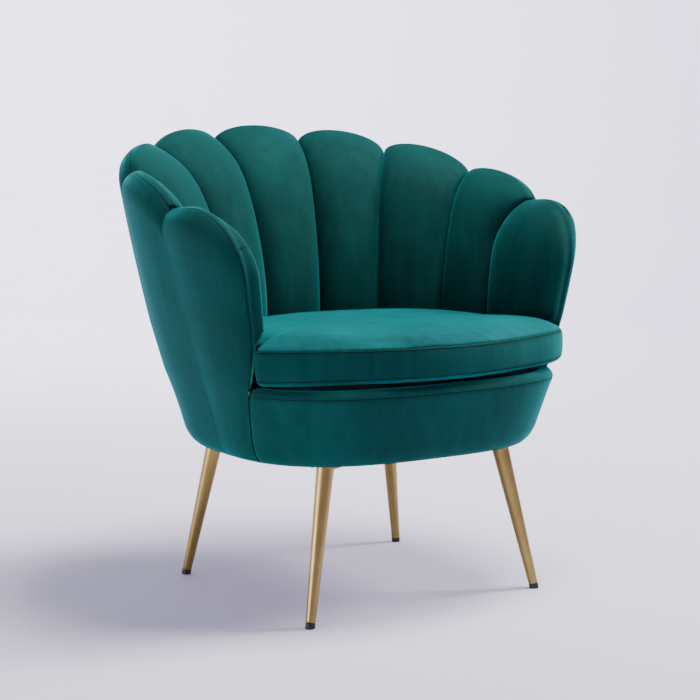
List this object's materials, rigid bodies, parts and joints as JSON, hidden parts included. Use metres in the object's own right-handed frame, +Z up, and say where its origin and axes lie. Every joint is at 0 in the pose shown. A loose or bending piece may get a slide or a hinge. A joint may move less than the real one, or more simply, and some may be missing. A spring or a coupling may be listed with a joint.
{
  "type": "scallop back armchair",
  "caption": "Upholstered tub armchair with a scalloped channel back, loose seat cushion and splayed tapered tube legs",
  "frame": {"origin": "on the floor, under the middle of the chair", "axes": "+Z up, front toward -Y, +X to the right as seen from the front"},
  "size_m": [0.7714, 0.651, 0.78],
  "materials": {
    "velvet": "soft short-pile velvet, teal green",
    "foam": "upholstery foam, matt",
    "plywood": "plain birch plywood",
    "webbing": "woven elastic webbing",
    "lining": "thin black lining cloth",
    "brass_legs": "satin brass-coloured finish on steel tube",
    "foot_plastic": "black moulded plastic",
    "steel": "bright zinc-plated steel"
  },
  "bodies": {
    "chair": {"channel_1": "velvet", "channel_2": "velvet", "channel_3": "velvet", "channel_4": "velvet", "channel_5": "velvet", "channel_6": "velvet", "channel_7": "velvet", "channel_8": "velvet", "channel_9": "velvet", "arm_facing_left": "velvet", "arm_facing_right": "velvet", "outer_cover": "velvet", "rail_cover": "velvet", "rail_pad": "foam", "deck_pad": "foam", "back_board": "plywood", "rail_board": "plywood", "base_ring": "plywood", "seat_ring": "plywood", "post_front_left": "plywood", "post_front_right": "plywood", "post_back_left": "plywood", "post_back_right": "plywood", "strap_long_1": "webbing", "strap_long_2": "webbing", "strap_long_3": "webbing", "strap_cross_1": "webbing", "strap_cross_2": "webbing", "strap_cross_3": "webbing", "deck_cover": "lining", "dust_cover": "lining", "leg_front_left": "brass_legs", "foot_front_left": "foot_plastic", "screw_front_left_1": "steel", "screw_front_left_2": "steel", "screw_front_left_3": "steel", "screw_front_left_4": "steel", "leg_front_right": "brass_legs", "foot_front_right": "foot_plastic", "screw_front_right_1": "steel", "screw_front_right_2": "steel", "screw_front_right_3": "steel", "screw_front_right_4": "steel", "leg_back_left": "brass_legs", "foot_back_left": "foot_plastic", "screw_back_left_1": "steel", "screw_back_left_2": "steel", "screw_back_left_3": "steel", "screw_back_left_4": "steel", "leg_back_right": "brass_legs", "foot_back_right": "foot_plastic", "screw_back_right_1": "steel", "screw_back_right_2": "steel", "screw_back_right_3": "steel", "screw_back_right_4": "steel"},
    "cushion": {"cushion_cover": "velvet", "cushion_core": "foam", "zip_tape": "lining"},
    "slider": {"zip_slider": "steel", "zip_pull": "steel"}
  },
  "joints": [
    {"name": "cushion_slide", "type": "slide", "parent": "chair", "child": "cushion", "axis": [0, -0.94, 0.3412], "range_m": [0, 0.4]},
    {"name": "zip_slide", "type": "hinge", "parent": "cushion", "child": "slider", "pos_m": [0, -0.20258, 0.409], "axis": [0, 0, 1], "range_deg": [0, 34]}
  ]
}
